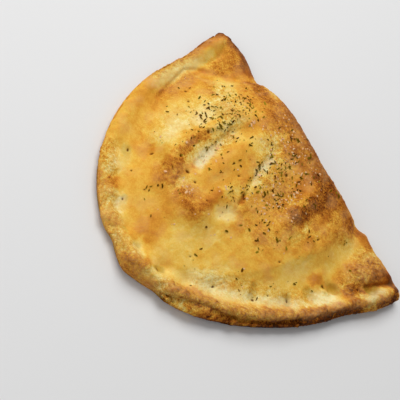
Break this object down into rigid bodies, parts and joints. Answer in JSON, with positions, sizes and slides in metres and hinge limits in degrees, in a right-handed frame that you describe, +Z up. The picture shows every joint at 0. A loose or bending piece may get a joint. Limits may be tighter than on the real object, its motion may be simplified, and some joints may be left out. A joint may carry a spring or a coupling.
{
  "type": "calzone",
  "caption": "Baked calzone: pizza dough folded over its filling into a deep D shape, with a sealed rim pressed by hand, a straight domed fold, swirls in the crust and dried herbs on top.",
  "frame": {"origin": "middle of the underside of the bounding box, on the surface that the calzone lies on", "axes": "+X along the straight fold, +Y from the sealed curved edge towards the fold, +Z up"},
  "size_m": [0.233, 0.1744, 0.0346],
  "materials": {
    "crust": "baked golden dough crust, dry and slightly satin where oiled",
    "herbs": "dried oregano and parsley flakes, dull",
    "cheese_grains": "fine grated hard cheese, half melted onto the crust"
  },
  "bodies": {
    "root": {"calzone": "crust"}
  },
  "joints": []
}
